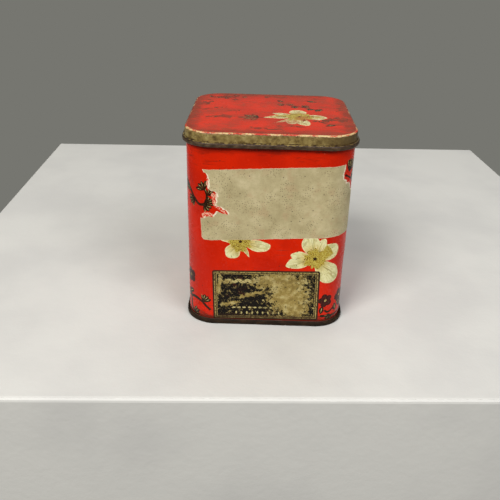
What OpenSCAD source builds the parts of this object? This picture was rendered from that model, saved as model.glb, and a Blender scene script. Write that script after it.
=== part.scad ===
// A slip-lid lithographed tinplate caddy: a wrapped body sheet with a lock
// seam up the back, a base end double-seamed onto it, a drawn lid with a
// hollow curled bead, and a torn paper label glued round one corner.
// Millimetres. +Z is up, the front with the label faces -Y, and the origin
// is the middle of the footprint, on the surface the tin stands on.

/* [Tin] */
// Width of the body between its outer side faces
body_w = 84.4; // [70:0.2:100]
// Depth of the body between its outer front and back faces
body_d = 84.4; // [70:0.2:100]
// Height of the closed tin
tin_h = 107; // [98:0.5:130]
// Outer radius of the upright corners
corner_r = 14.6; // [12:0.2:18]
// Thickness of the tinplate
sheet_t = 0.3; // [0.25:0.05:0.35]

/* [Lid] */
// Height of the lid, from its bead to its top
lid_h = 7.1; // [6:0.1:12]
// Gap between the lid's skirt and the body, all round
lid_gap = 0.3; // [0.25:0.05:0.5]
// Radius of the lid's drawn top edge
lid_edge_r = 1; // [0.8:0.1:1.2]
// Height of the curled bead
bead_h = 2.4; // [2:0.1:3]
// Width of the curled bead, measured outwards from the skirt's inner face
bead_w = 1.6; // [1.4:0.1:1.8]

/* [Mouth and seams] */
// Depth of the hem folded inside the mouth
hem_h = 3; // [2:0.5:5]
// Height of the double seam round the base
seam_h = 2.5; // [2.4:0.1:3.5]
// Gap between neighbouring layers of the double seam
seam_gap = 0.15; // [0.1:0.05:0.2]
// Height of the base panel above the standing rim
panel_lift = 2.2; // [1.5:0.1:3]
// Width of the lock seam up the back
lock_w = 5; // [4:0.5:8]

/* [Paper label] */
// Thickness of the paper
paper_t = 0.12; // [0.1:0.01:0.2]
// Height of the label's lower left corner
label_z = 50.1; // [40:0.2:56]
// Height of the paper from its lower to its upper edge
label_h = 38; // [30:0.5:40]
// Distance of the label's left edge from the middle of the front
label_left = 34; // [28:0.5:36]
// How far the label runs past the corner onto the right side
label_wrap = 6; // [2:0.5:20]
// Tilt of the label, stuck on slightly askew
label_tilt = 3; // [0:0.5:4]

/* [Hidden] */

// Smoothness of the corners and of the small bends
corner_fn = 64;
bend_steps = 4;
bead_steps = 8;

// How far a shape reaches into or past another that it joins or cuts
overlap = 1;
// Gap left in a fold, and behind the glued label
fold_gap = 0.05;
glue_gap = 0.02;

// Distances outwards from the body's outer face
jacket_out = 3 * seam_gap + 3 * sheet_t;
jacket_in = jacket_out - sheet_t;
hook_out = 2 * seam_gap + 2 * sheet_t;
hook_in = hook_out - sheet_t;
tuck_out = seam_gap + sheet_t;
chuck_out = -sheet_t - seam_gap;
chuck_in = chuck_out - sheet_t;
skirt_out = lid_gap + sheet_t;

// Bend radii of the sheet, outside
base_bend_r = sheet_t + 0.2;
hook_bend_r = sheet_t + 0.1;

// Heights
wall_z = sheet_t + fold_gap;
hook_top_z = seam_h - sheet_t - seam_gap;
tuck_z = 2 * sheet_t + 2 * seam_gap;
panel_top_z = panel_lift + sheet_t;
lid_bottom_z = tin_h - lid_h;
mouth_z = tin_h - sheet_t - lid_gap;
lock_z = panel_top_z + 1;
lock_top_z = mouth_z - hem_h - 1;

// Spacing of the four layers of the lock seam
layer = sheet_t + fold_gap;

// Half lengths of the flat parts of the walls
flat_x = body_w / 2 - corner_r;
flat_y = body_d / 2 - corner_r;

// Points of an arc about a centre, from one angle to another
function arc(centre, r, from, to, steps = bend_steps) = [
    for (i = [0 : steps])
        let (a = from + (to - from) * i / steps)
            centre + r * [cos(a), sin(a)]
];

// X of a point on the front, from its distance along the wall from the middle
function wrapped_x(along) =
    abs(along) <= flat_x
        ? along
        : sign(along) * (flat_x + corner_r * sin(min(90, (abs(along) - flat_x) / corner_r * 180 / PI)));

// Plan of the tin, moved inwards by inset
module plan(inset) {
    r = corner_r - inset;
    square([2 * flat_x + 2 * r, 2 * flat_y], center = true);
    square([2 * flat_x, 2 * flat_y + 2 * r], center = true);
    for (x = [-flat_x, flat_x], y = [-flat_y, flat_y]) {
        translate([x, y]) circle(r, $fn = corner_fn);
    }
}

// Sweeps a section round the tin: its X is the distance outwards from the
// body's outer face, and its Y is the height
module swept() {
    for (k = [0 : 3]) {
        reach = k % 2 == 0 ? flat_x : flat_y;
        half_run = k % 2 == 0 ? flat_y : flat_x;
        rotate([0, 0, 90 * k]) {
            translate([reach + corner_r, 0, 0])
                rotate([90, 0, 0])
                    linear_extrude(2 * half_run, center = true) children();
            translate([reach, half_run, 0])
                rotate_extrude(angle = 90, $fn = corner_fn)
                    translate([corner_r, 0]) children();
        }
    }
}

// Section of the body sheet: hook of the base seam, wall and mouth hem
module body_section() {
    under_wall = [hook_bend_r - sheet_t, wall_z + hook_bend_r];
    under_hook = [hook_out - hook_bend_r, wall_z + hook_bend_r];
    inside_r = hook_bend_r - sheet_t;
    polygon(concat(
        arc(under_wall, hook_bend_r, 180, 270),
        arc(under_hook, hook_bend_r, 270, 360),
        [[hook_out, hook_top_z], [hook_in, hook_top_z]],
        arc(under_hook, inside_r, 0, -90),
        arc(under_wall, inside_r, 270, 180),
        arc([-sheet_t, mouth_z - sheet_t], sheet_t, 0, 180),
        [[-2 * sheet_t, mouth_z - hem_h], [-sheet_t, mouth_z - hem_h]]
    ));
}

// Plan of the lock seam: the two edges of the sheet hooked into each other
module lock_plan() {
    face_y = body_d / 2;
    half = lock_w / 2;
    // The left edge turns in at the right of the seam and comes back
    translate([half - sheet_t, face_y - 2 * layer - sheet_t])
        square([sheet_t, 2 * layer + sheet_t]);
    translate([-half + sheet_t + fold_gap, face_y - 2 * layer - sheet_t])
        square([lock_w - sheet_t - fold_gap, sheet_t]);
    // The right edge steps in behind it and turns out at the left
    translate([half + fold_gap, face_y - 3 * layer - sheet_t])
        square([sheet_t, 3 * layer + sheet_t]);
    translate([-half, face_y - 3 * layer - sheet_t])
        square([lock_w + fold_gap + sheet_t, sheet_t]);
    translate([-half, face_y - 3 * layer - sheet_t])
        square([sheet_t, 2 * layer + sheet_t]);
    translate([-half, face_y - layer - sheet_t])
        square([lock_w - sheet_t - fold_gap, sheet_t]);
}

module body_wall() {
    color("firebrick")
        difference() {
            union() {
                swept() body_section();
                translate([0, 0, lock_z])
                    linear_extrude(lock_top_z - lock_z) lock_plan();
            }
            // The line where the two edges of the sheet meet
            translate([lock_w / 2, body_d / 2 - 2.5 * layer, -overlap])
                cube([fold_gap, 2.5 * layer + jacket_out, tin_h + 2 * overlap]);
        }
}

// Section of the base end: chuck wall, standing rim, jacket and tucked edge
module base_section() {
    rim_inner = [chuck_in + base_bend_r, base_bend_r];
    rim_outer = [jacket_out - base_bend_r, base_bend_r];
    top_outer = [jacket_out - base_bend_r, seam_h - base_bend_r];
    top_inner = [seam_gap + base_bend_r, seam_h - base_bend_r];
    inside_r = base_bend_r - sheet_t;
    polygon(concat(
        arc(rim_inner, base_bend_r, 180, 270),
        arc(rim_outer, base_bend_r, 270, 360),
        arc(top_outer, base_bend_r, 0, 90),
        arc(top_inner, base_bend_r, 90, 180),
        [[seam_gap, tuck_z], [tuck_out, tuck_z]],
        arc(top_inner, inside_r, 180, 90),
        arc(top_outer, inside_r, 90, 0),
        arc(rim_outer, inside_r, 360, 270),
        arc(rim_inner, inside_r, 270, 180),
        [[chuck_out, panel_top_z], [chuck_in, panel_top_z]]
    ));
}

module base_plate() {
    color("saddlebrown") {
        swept() base_section();
        translate([0, 0, panel_lift])
            linear_extrude(sheet_t) plan(-(chuck_in + chuck_out) / 2);
    }
}

// Section of the lid: edge of the top, skirt and hollow curled bead
module lid_section() {
    edge = [skirt_out - lid_edge_r, tin_h - lid_edge_r];
    curl_r = bead_w / 2;
    curl_in_r = curl_r - sheet_t;
    lower = [lid_gap + curl_r, lid_bottom_z + curl_r];
    upper = [lid_gap + curl_r, lid_bottom_z + bead_h - curl_r];
    curl_end = 120;
    flange_in = edge.x - 2 * overlap;
    polygon(concat(
        [[flange_in, tin_h]],
        [[flange_in, tin_h - sheet_t]],
        arc(edge, lid_edge_r - sheet_t, 90, 0),
        arc(lower, curl_r, 180, 360, bead_steps),
        arc(upper, curl_r, 0, curl_end, bead_steps),
        arc(upper, curl_in_r, curl_end, 0, bead_steps),
        arc(lower, curl_in_r, 360, 180, bead_steps),
        arc(edge, lid_edge_r, 0, 90)
    ));
}

module lid() {
    color("firebrick") {
        swept() lid_section();
        translate([0, 0, tin_h - sheet_t])
            linear_extrude(sheet_t) plan(lid_edge_r + overlap - skirt_out);
    }
}

// Outline of the label laid flat, before its tilt: X runs along the wall from
// its left edge and Y up from its lower edge. The left edge is torn away in
// the middle and a notch is torn out of the top at the corner.
function label_outline(length) = concat(
    arc([2, 2], 2, 180, 270),
    [[length, 0], [length, label_h - 18], [83, label_h - 16], [80.5, label_h - 14.5]],
    [[77.5, label_h - 10], [75.5, label_h - 9.5], [73, label_h - 5.5], [74, label_h]],
    [[2.5, label_h], [5.5, label_h - 5], [5, label_h - 9], [8.5, label_h - 11.5]],
    [[8.5, label_h - 16], [9.5, label_h - 19], [14, label_h - 22.5], [14, label_h - 23.6]],
    [[9, label_h - 22.2], [6, label_h - 25], [3, label_h - 24.6], [0, label_h - 26]]
);

module paper_label() {
    length = label_left + flat_x + corner_r * PI / 2 + label_wrap;
    tilted = [
        for (p = label_outline(length))
            [
                -label_left + p.x * cos(label_tilt) - p.y * sin(label_tilt),
                label_z + p.x * sin(label_tilt) + p.y * cos(label_tilt)
            ]
    ];
    reach = flat_x + corner_r + overlap;
    color("darkkhaki")
        intersection() {
            swept()
                translate([glue_gap, label_z - overlap])
                    square([paper_t, label_h + length * sin(label_tilt) + 2 * overlap]);
            translate([0, -flat_y + label_wrap, 0])
                rotate([90, 0, 0])
                    linear_extrude(label_wrap + corner_r + overlap)
                        polygon([
                            for (p = tilted)
                                [p.x > flat_x + corner_r ? reach : wrapped_x(p.x), p.y]
                        ]);
        }
}

body_wall();
base_plate();
lid();
paper_label();
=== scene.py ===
"""Visual model of the lithographed slip-lid tin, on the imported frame.

Lengths are in millimetres until a mesh is built. A place on the printed body
sheet is (along, height): the distance along the wall from the middle of the
front, to the right, and the height above the surface the tin stands on.
"""
import math

import bpy
import numpy as np
from mathutils import Matrix, Vector
from mathutils.geometry import delaunay_2d_cdt


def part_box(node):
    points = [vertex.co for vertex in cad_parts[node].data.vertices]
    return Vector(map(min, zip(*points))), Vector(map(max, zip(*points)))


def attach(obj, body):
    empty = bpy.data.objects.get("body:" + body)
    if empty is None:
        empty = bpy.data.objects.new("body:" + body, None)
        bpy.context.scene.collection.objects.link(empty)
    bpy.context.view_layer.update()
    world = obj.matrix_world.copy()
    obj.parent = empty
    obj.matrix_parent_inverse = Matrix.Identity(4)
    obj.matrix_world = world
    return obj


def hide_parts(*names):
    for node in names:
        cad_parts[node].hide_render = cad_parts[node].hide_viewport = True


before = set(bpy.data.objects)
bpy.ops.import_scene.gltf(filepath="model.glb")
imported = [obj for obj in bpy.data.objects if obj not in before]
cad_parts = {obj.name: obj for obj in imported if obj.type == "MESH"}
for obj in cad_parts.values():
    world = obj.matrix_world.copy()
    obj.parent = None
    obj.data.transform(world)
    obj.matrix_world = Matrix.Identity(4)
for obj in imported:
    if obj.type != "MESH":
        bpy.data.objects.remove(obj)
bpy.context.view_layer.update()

MM = 0.001


def node_box(name):
    """Lowest and highest corner of a CAD node in millimetres."""
    low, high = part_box(name)
    return low / MM, high / MM


# ---------------------------------------------------------------- sizes

LID_LOW, LID_HIGH = node_box("lid")
WALL_HIGH = node_box("body_wall")[1]
BASE_HIGH = node_box("base_plate")[1]

# Thicknesses, gaps, folds and heights, the same as in the CAD
SHEET_T = 0.3
SEAM_GAP = 0.15
FOLD_GAP = 0.05
HOOK_OUT = 2 * SHEET_T + 2 * SEAM_GAP
JACKET_OUT = 3 * SHEET_T + 3 * SEAM_GAP
LID_GAP = 0.3
SKIRT_OUT = LID_GAP + SHEET_T
LID_EDGE_R = 1.0
BEAD_H = 2.4
HEM_H = 3.0
LOCK_W = 5.0
PANEL_LIFT = 2.2
GLUE_GAP = 0.02
PAPER_T = 0.12
FIBRE_T = 0.05

TIN_H = LID_HIGH.z
LID_Z = LID_LOW.z
MOUTH_Z = WALL_HIGH.z
SEAM_H = BASE_HIGH.z
BEAD_W = LID_HIGH.x - WALL_HIGH.x + HOOK_OUT - LID_GAP
CORNER_R = 14.6
FLAT = WALL_HIGH.x - HOOK_OUT - CORNER_R
ARC = CORNER_R * math.pi / 2
SIDE = 2 * FLAT + ARC
PERIMETER = 4 * SIDE
# The two edges of the sheet meet on the back, beside the lock seam
JOIN = PERIMETER / 2 - LOCK_W / 2


# ---------------------------------------------------------------- the unrolled plan


def on_plan(along, out):
    """Plan point at a distance along the wall, moved outwards from its face."""
    along = np.asarray(along, float)
    side = np.round(along / SIDE)
    local = along - side * SIDE
    flat = np.clip(local, -FLAT, FLAT)
    bend = (local - flat) / CORNER_R
    reach = CORNER_R + out
    x = flat + reach * np.sin(bend)
    y = -FLAT - reach * np.cos(bend)
    turn = side * math.pi / 2
    return x * np.cos(turn) - y * np.sin(turn), x * np.sin(turn) + y * np.cos(turn)


def stations():
    """Distances along the wall where a swept section is placed, join to join."""
    flat_points, bend_points, closest = 17, 23, 0.05
    near_join = np.array([0, 0.12, 0.3, 0.7, 1.5])
    side = np.concatenate([
        np.linspace(-FLAT, FLAT, flat_points),
        np.linspace(FLAT, FLAT + ARC, bend_points)[1:-1],
    ])
    ring = np.concatenate([side + k * SIDE for k in range(-1, 3)])
    ring = np.where(ring > JOIN, ring - PERIMETER, ring)
    ring = np.sort(np.concatenate([ring, JOIN - near_join, JOIN - PERIMETER + near_join]))
    return ring[np.concatenate([[True], np.diff(ring) > closest])]


STATIONS = stations()


def plan_depth(x, y, out):
    """Distance inwards from the plan's edge, itself moved outwards by out."""
    past_x, past_y = abs(x) - FLAT, abs(y) - FLAT
    corner = np.hypot(np.maximum(past_x, 0), np.maximum(past_y, 0))
    return CORNER_R + out - corner - np.minimum(np.maximum(past_x, past_y), 0)


def smoothstep(value, low, high):
    """0 below low, 1 above high, smooth between."""
    part = np.clip((value - low) / (high - low), 0, 1)
    return part * part * (3 - 2 * part)


# Dents in the wall: along, height, radius, depth
DENTS = [
    (-30, 90, 7, 0.22),
    (12, 22, 16, -0.15),
    (46, 30, 9, 0.2),
    (70, 64, 13, 0.25),
    (-76, 40, 15, 0.22),
    (140, 78, 12, 0.3),
    (-140, 30, 10, 0.2),
]


def once_round(along):
    """Angle that goes once round as the distance along the wall does."""
    return 2 * math.pi * along / PERIMETER


def raised(along, out, height):
    """Point at a distance along the wall and outwards from it, at a height."""
    x, y = on_plan(along, out)
    return np.stack([x, y, np.broadcast_to(height, x.shape)], -1)


def apart(along, other):
    """Signed distance between two places along the wall, the short way round."""
    return (along - other + PERIMETER / 2) % PERIMETER - PERIMETER / 2


def wall_wave(along, height):
    """How far the old sheet stands proud of its true face; a groove marks the join."""
    turn = once_round(along)
    wave = 0.05 * np.sin(7 * turn + height / 19) + 0.04 * np.sin(12 * turn - height / 11 + 1)
    for at, up, radius, depth in DENTS:
        wave = wave - depth * np.exp(-(apart(along, at) ** 2 + (height - up) ** 2) / radius ** 2)
    wave = wave * smoothstep(height, SEAM_H + 1, 12) * (1 - smoothstep(height, 94, 99))
    groove_depth, groove_half = 0.2, 0.25
    return wave - groove_depth * np.exp(-(apart(JOIN, along) / groove_half) ** 2)


def wall_place(along, out, height):
    """Point of the body sheet, dents included."""
    return raised(along, out + wall_wave(along, height), height)


def base_place(along, out, height):
    """Point of the base end, its rim slightly uneven."""
    turn = once_round(along)
    waver = 0.05 * np.sin(9 * turn) + 0.04 * np.sin(24 * turn + 2)
    return raised(along, out + waver * smoothstep(out, HOOK_OUT, JACKET_OUT), height)


def lid_place(along, out, height):
    """Point of the lid's side, its bead a little crushed here and there."""
    on_bead = smoothstep(out, SKIRT_OUT + 0.1, SKIRT_OUT + BEAD_W - SHEET_T)
    turn = once_round(along)
    crush = 0.06 * np.sin(11 * turn + 1) + 0.05 * np.sin(26 * turn)
    sag = 0.07 * np.sin(8 * turn)
    return raised(along, out + on_bead * crush, height + on_bead * sag)


def lid_top_z(x, y):
    """Height of the lid's top, slightly hollow and dented."""
    away = smoothstep(plan_depth(x, y, SKIRT_OUT - LID_EDGE_R), 0, 9)
    wave = 0.12 * np.sin(x / 13 + 0.4) * np.cos(y / 16) - 0.22
    dent = 0.35 * np.exp(-((x + 22) ** 2 + (y + 18) ** 2) / 60)
    return TIN_H + away * (wave - dent)


# ---------------------------------------------------------------- meshes in parts


def fill(boundary, inner, outlines=(), edges=()):
    """Triangles over a flat region, cut along every outline and edge given."""
    points = [tuple(p) for p in boundary] + [tuple(p) for p in inner]
    cuts = [(k, (k + 1) % len(boundary)) for k in range(len(boundary))]
    cuts += [(len(boundary) + a, len(boundary) + b) for a, b in edges]
    for outline in outlines:
        first = len(points)
        points += [tuple(p) for p in outline]
        cuts += [(first + k, first + (k + 1) % len(outline)) for k in range(len(outline))]
    inside_only, tolerance = 1, 1e-5
    flat, _, faces, origins, _, _ = delaunay_2d_cdt(
        [Vector(p) for p in points], cuts, [], inside_only, tolerance)
    flat = np.array([points[o[0]] if o else tuple(p) for p, o in zip(flat, origins)])
    return flat, np.array([tuple(f) for f in faces])


def inside(points, outline):
    """Which points lie inside a closed outline."""
    outline = np.asarray(outline)
    low, high = outline.min(0), outline.max(0)
    near = np.all((points >= low) & (points <= high), 1)
    found = np.zeros(len(points), bool)
    x, y = points[near].T
    odd = np.zeros(len(x), bool)
    for (x0, y0), (x1, y1) in zip(outline, np.roll(outline, -1, 0)):
        if y0 != y1:
            odd ^= ((y0 > y) != (y1 > y)) & (x < (x1 - x0) * (y - y0) / (y1 - y0) + x0)
    found[near] = odd
    return found


# Points that agree to this many digits of a millimetre are one point
MERGE_DIGITS = 4


def new_object(name, data):
    """An object in the scene that holds the data."""
    made = bpy.data.objects.new(name, data)
    bpy.context.scene.collection.objects.link(made)
    return made


class Shell:
    """A mesh gathered from parts, with its inks and its pattern coordinates."""

    def __init__(self, name, looks):
        self.name = name
        self.looks = looks
        self.points = []
        self.normals = []
        self.faces = []
        self.count = 0

    def add(self, points, faces, inks, flat, motif=None, normals=None):
        """Adds faces in their inks.

        flat is each point's place in the patterns. inks is one name or one for each
        face, and motif is given face by face, for each corner.
        """
        self.points.append(points)
        self.normals.append(np.zeros_like(points) if normals is None else normals)
        if isinstance(inks, str):
            inks = [inks] * len(faces)
        if motif is None:
            motif = [[(0, 0, 0)] * len(face) for face in faces]
        for face, ink, on_motif in zip(faces, inks, motif):
            on_sheet = [(flat[k][0], flat[k][1], 0) for k in face]
            self.faces.append(([self.count + k for k in face], ink, on_sheet, on_motif))
        self.count += len(points)

    def sweep(self, chain, place, inks):
        """Strip along the stations: chain holds (out, height), inks one per link."""
        chain = np.array(chain, float)
        run = np.concatenate([[0], np.cumsum(np.hypot(*np.diff(chain, axis=0).T))])
        points = np.concatenate([place(STATIONS, out, height) for out, height in chain])
        wide = len(STATIONS)
        starts = [(j, j * wide + k) for j in range(len(chain) - 1) for k in range(wide - 1)]
        faces = [(k, k + 1, k + wide + 1, k + wide) for _, k in starts]
        kinds = [inks[j] for j, _ in starts]
        self.add(points, faces, kinds, [(along, at) for at in run for along in STATIONS])

    def build(self, sharp=35):
        """Merges points that meet and makes the object; sharp is an angle in degrees."""
        points = np.concatenate(self.points)
        normals = np.concatenate(self.normals)
        rounded = np.round(points, MERGE_DIGITS)
        _, first, where = np.unique(rounded, axis=0, return_index=True, return_inverse=True)
        where = where.ravel()
        faces = []
        kinds = []
        sheet = []
        motif = []
        for face, ink, on_sheet, on_motif in self.faces:
            merged = [int(where[k]) for k in face]
            kept = [k for k in range(len(merged)) if merged[k] != merged[k - 1]]
            if len({merged[k] for k in kept}) >= 3:
                faces.append([merged[k] for k in kept])
                kinds.append(ink)
                sheet += [on_sheet[k] for k in kept]
                motif += [on_motif[k] for k in kept]
        mesh = bpy.data.meshes.new(self.name)
        mesh.from_pydata(points[first] * MM, [], faces)
        names = list(self.looks)
        for look in self.looks.values():
            mesh.materials.append(look)
        mesh.polygons.foreach_set("material_index", [names.index(ink) for ink in kinds])
        for title, values in (("sheet", sheet), ("motif", motif)):
            layer = mesh.attributes.new(title, "FLOAT_VECTOR", "CORNER")
            layer.data.foreach_set("vector", np.array(values, np.float32).ravel())
        mesh.shade_smooth()
        mesh.set_sharp_from_angle(angle=math.radians(sharp))
        if np.any(normals):
            mesh.normals_split_custom_set_from_vertices(normals[first])
        return new_object(self.name, mesh)


def arc(centre, radius, start, end, steps=5):
    """Points of an arc, angles in degrees."""
    turns = np.radians(np.linspace(start, end, steps + 1))
    return [(centre[0] + radius * math.cos(t), centre[1] + radius * math.sin(t)) for t in turns]


# ---------------------------------------------------------------- printed artwork

rng = np.random.default_rng(11)


class Artwork:
    """Flat shapes in the order they are printed, each in one ink."""

    def __init__(self, low, high, ground):
        self.low = np.array(low, float)
        self.high = np.array(high, float)
        self.ground = ground
        self.shapes = []

    def paint(self, ink, outline, centre):
        outline = np.clip(np.asarray(outline, float), self.low, self.high)
        self.shapes.append((ink, outline, np.asarray(centre, float), rng.uniform(0, 100)))

    def outlines(self):
        return [outline for _, outline, _, _ in self.shapes]

    def inks_of(self, flat, faces):
        """The ink of each face, and the pattern coordinates of its corners."""
        middle = flat[faces].mean(1)
        inks = np.array([self.ground] * len(faces), dtype=object)
        motif = np.zeros((len(faces), 3, 3))
        for ink, outline, centre, seed in self.shapes:
            found = inside(middle, outline)
            inks[found] = ink
            motif[found, :, :2] = flat[faces[found]] - centre
            motif[found, :, 2] = seed
        return inks, motif


def full_turn(steps):
    return np.linspace(0, 2 * math.pi, steps, endpoint=False)


def around(turns, reach):
    """Points at a reach from the origin, at angles in radians."""
    return np.stack([reach * np.cos(turns), reach * np.sin(turns)], -1)


def turned(points, degrees, at=(0, 0)):
    """The points turned about the origin and then moved by at."""
    turn = math.radians(degrees)
    rotation = np.array([[math.cos(turn), math.sin(turn)], [-math.sin(turn), math.cos(turn)]])
    return np.asarray(points, float) @ rotation + np.asarray(at, float)


def uneven(outline, amount, smooth=2):
    """Moves the points of an outline about, as in an old print or a torn edge."""
    shift = rng.normal(0, amount, np.shape(outline))
    for _ in range(smooth):
        shift = (shift + np.roll(shift, 1, 0) + np.roll(shift, -1, 0)) / 2
    return np.asarray(outline, float) + shift


def shrunk(outline, margin):
    """The outline drawn a margin smaller about its middle."""
    middle = outline.mean(0)
    reach = np.hypot(*(outline - middle).T).mean()
    return middle + (outline - middle) * max(0.1, 1 - margin / reach)


def petal_outline(length, width, ripple=0.0, tip=0.5, steps=34):
    """A petal from its foot at the origin along +X; a larger tip number points it."""
    turns = np.linspace(-math.pi, math.pi, steps, endpoint=False)
    along = (1 + np.cos(turns)) / 2
    across = np.sin(turns) * along ** 0.5 * (1 - along) ** (tip - 0.5)
    across = across / across.max() * width / 2
    wave = 1 + ripple * np.sin(3 * turns + 1) * along
    return np.stack([along * length * wave, across], 1)


def smooth_line(points, steps=5):
    """A curve through the points (Catmull-Rom)."""
    p = np.asarray(points, float)
    p = np.concatenate([[2 * p[0] - p[1]], p, [2 * p[-1] - p[-2]]])
    made = []
    for a, b, c, d in zip(p, p[1:], p[2:], p[3:]):
        for t in np.arange(steps) / steps:
            made.append((2 * b + (c - a) * t + (2 * a - 5 * b + 4 * c - d) * t * t
                         + (3 * b - a - 3 * c + d) * t ** 3) / 2)
    return np.array(made + [p[-2]])


def stroke_outline(points, width, end_width=None):
    """Outline of a brush stroke that thins towards its end."""
    line = smooth_line(points)
    end_width = 0.5 * width if end_width is None else end_width
    run = np.gradient(line, axis=0)
    across = np.stack([-run[:, 1], run[:, 0]], 1) / np.hypot(*run.T)[:, None]
    half = np.linspace(width, end_width, len(line))[:, None] / 2
    return np.concatenate([line + across * half, (line - across * half)[::-1]])


def petal(art, centre, angle, length, width, tip):
    """A petal with a paler edge and two thin folds."""
    outline = uneven(turned(petal_outline(length, width, 0.05, tip), angle, centre), 0.2)
    art.paint("petal_edge", outline, centre)
    art.paint("petal", shrunk(outline, 0.5), centre)
    for _ in range(2):
        bend = rng.uniform(-0.16, 0.16) * width
        end = rng.uniform(0.72, 0.9) * length
        fold = [(0.35 * length, 0.3 * bend), (0.6 * length, bend), (end, 1.3 * bend)]
        art.paint("fold", turned(stroke_outline(fold, 0.42, 0.12), angle, centre), centre)


def rose(art, centre, radius, petals, stamens=0.42):
    """An open flower: petals given as (angle, length, width, tip), as parts of its radius."""
    for angle, length, width, tip in petals:
        petal(art, centre, angle, length * radius, width * radius, tip)
    steps, anthers = 46, 30
    turns = full_turn(steps)
    ragged = radius * stamens * (1 + 0.10 * np.sin(9 * turns) + 0.09 * rng.normal(size=steps))
    art.paint("stamens", around(turns, ragged) + centre, centre)
    for reach, turn in zip(rng.uniform(0.45, 1.1, anthers), rng.uniform(0, 2 * math.pi, anthers)):
        at = centre + around(turn, radius * stamens * reach)
        art.paint("anther", arc(at, rng.uniform(0.2, 0.36), 0, 300, 5), centre)
    turns = turns[::3]
    eye = 0.075 * radius * (1 + 0.35 * np.sin(5 * turns))
    art.paint("dark", around(turns, eye) + centre, centre)


def fan_leaf(art, apex, angle, length, spread=90, lobes=4):
    """A tuft of slender dark lobes, each with a pale stroke along it."""
    for turn in np.linspace(-spread / 2, spread / 2, lobes):
        reach = length * (1 - 0.25 * abs(turn) / spread) * rng.uniform(0.85, 1.05)
        lobe = turned(petal_outline(reach, 0.42 * reach, 0.03, 0.5, 16), angle + turn, apex)
        art.paint("leaf", uneven(lobe, 0.08), apex)
    for turn in np.linspace(-spread / 2, spread / 2, lobes):
        vein = petal_outline(0.5 * length, 0.05 * length, 0, 0.8, 10) + (0.34 * length, 0)
        art.paint("vein", turned(vein, angle + turn + 3, apex), apex)


def branch(art, points, width, end_width=None):
    art.paint("leaf", uneven(stroke_outline(points, width, end_width), 0.07), points[0])


def blossom(art, centre, radius, petals=5):
    """A small dark blossom with a pale eye."""
    turns = full_turn(40)
    lobed = radius * (0.74 + 0.26 * abs(np.sin(turns * petals / 2)))
    art.paint("blossom", uneven(around(turns, lobed) + centre, 0.1), centre)
    for turn in np.arange(petals) * 2 * math.pi / petals + 0.6:
        fleck = turned(petal_outline(0.5 * radius, 0.13 * radius, 0, 0.7, 10) + (0.35 * radius, 0),
                       math.degrees(turn), centre)
        art.paint("dark", fleck, centre)
    art.paint("vein", around(turns[::4], 0.17 * radius) + centre, centre)


def leaf(art, foot, angle, length, width):
    """A pointed dark leaf with a pale midrib."""
    outline = uneven(turned(petal_outline(length, width, 0.04, 0.75, 24), angle, foot), 0.1)
    art.paint("leaf", outline, foot)
    vein = petal_outline(0.6 * length, 0.16 * width, 0, 0.8, 12) + (0.25 * length, 0)
    art.paint("vein", turned(vein, angle, foot), foot)


def spray(art, at, turn, size=1.0, flip=1):
    """A twig with tufts of leaves and two blossoms."""
    lean = rng.uniform(-0.16, 0.16)

    def local(*points):
        moved = np.array(points, float)
        moved[:, 1] += lean * moved[:, 0] + 0.012 * lean * moved[:, 0] ** 2
        return turned(moved * (size, size * flip), turn, at)

    branch(art, local((0, 0), (6, 2), (11, 7), (18, 9), (25, 14)), 1.3 * size)
    branch(art, local((11, 7), (11, 11), (8, 15)), 0.9 * size)
    branch(art, local((18, 9), (22, 7), (25, 3)), 0.9 * size)
    for x, y, angle, length in ((6, 2, -50, 4.5), (8, 15, 115, 5.5), (25, 14, 40, 6),
                                (25, 3, -55, 5), (14, 8, 80, 4.5), (1, 0, 200, 4.5)):
        swing = rng.uniform(-18, 18)
        fan_leaf(art, local((x, y))[0], turn + flip * angle + swing, length * size, 90, rng.integers(3, 6))
    blossom(art, local((18, 15.5))[0], rng.uniform(3, 4) * size)
    blossom(art, local((15.5, 1.5))[0], rng.uniform(2.5, 3.4) * size)


PANEL_MIDDLE = (0.3, 18.1)
PANEL_HALF = (28.6, 15.3)
PANEL_TILT = 1.2


def rectangle(inset, corner=0.4):
    """The name panel's outline, inset from its edge."""
    x, y = (half - inset - corner for half in PANEL_HALF)
    corners = ((x, -y, -90), (x, y, 0), (-x, y, 90), (-x, -y, 180))
    return np.concatenate([arc((cx, cy), corner, a, a + 90, 4) for cx, cy, a in corners])


def scuff(art, at, length, width, turn=0):
    """A ragged rubbed patch."""
    blob = turned(petal_outline(length, width, 0.15, 0.6, 40) - (length / 2, 0), turn, at)
    art.paint("scuff", uneven(blob, 1.5, 1), at)


def name_panel(art):
    """The framed dark field low on the front, with rows of plain ornament."""
    def lay(ink, outline):
        art.paint(ink, turned(outline, PANEL_TILT, PANEL_MIDDLE), PANEL_MIDDLE)

    lay("keyline", uneven(rectangle(0, 1.1), 0.05))
    lay("gold", rectangle(0.9, 0.6))
    lay("keyline", rectangle(1.5))
    lay("gold", rectangle(2.0))
    lay("field", rectangle(2.35))
    stroke = petal_outline(4.4, 1.9, 0, 1.0, 18) - (2.2, 0)
    lozenge = petal_outline(2.2, 1.1, 0, 1.0, 12) - (1.1, 0)
    zigzag_pitch, lozenge_pitch = 4.9, 2.9
    for k in range(-4, 5):
        for lean, shift in ((40, -1.1), (-40, 1.3)):
            lay("faded", turned(stroke, lean, (zigzag_pitch * k + shift, 8.8)))
    for k in range(-6, 7):
        lay("faded", lozenge + (lozenge_pitch * k, -7.6))
        lay("faded", turned(lozenge * 0.9, 90, (lozenge_pitch * k + 1.4, -10.9)))


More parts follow.
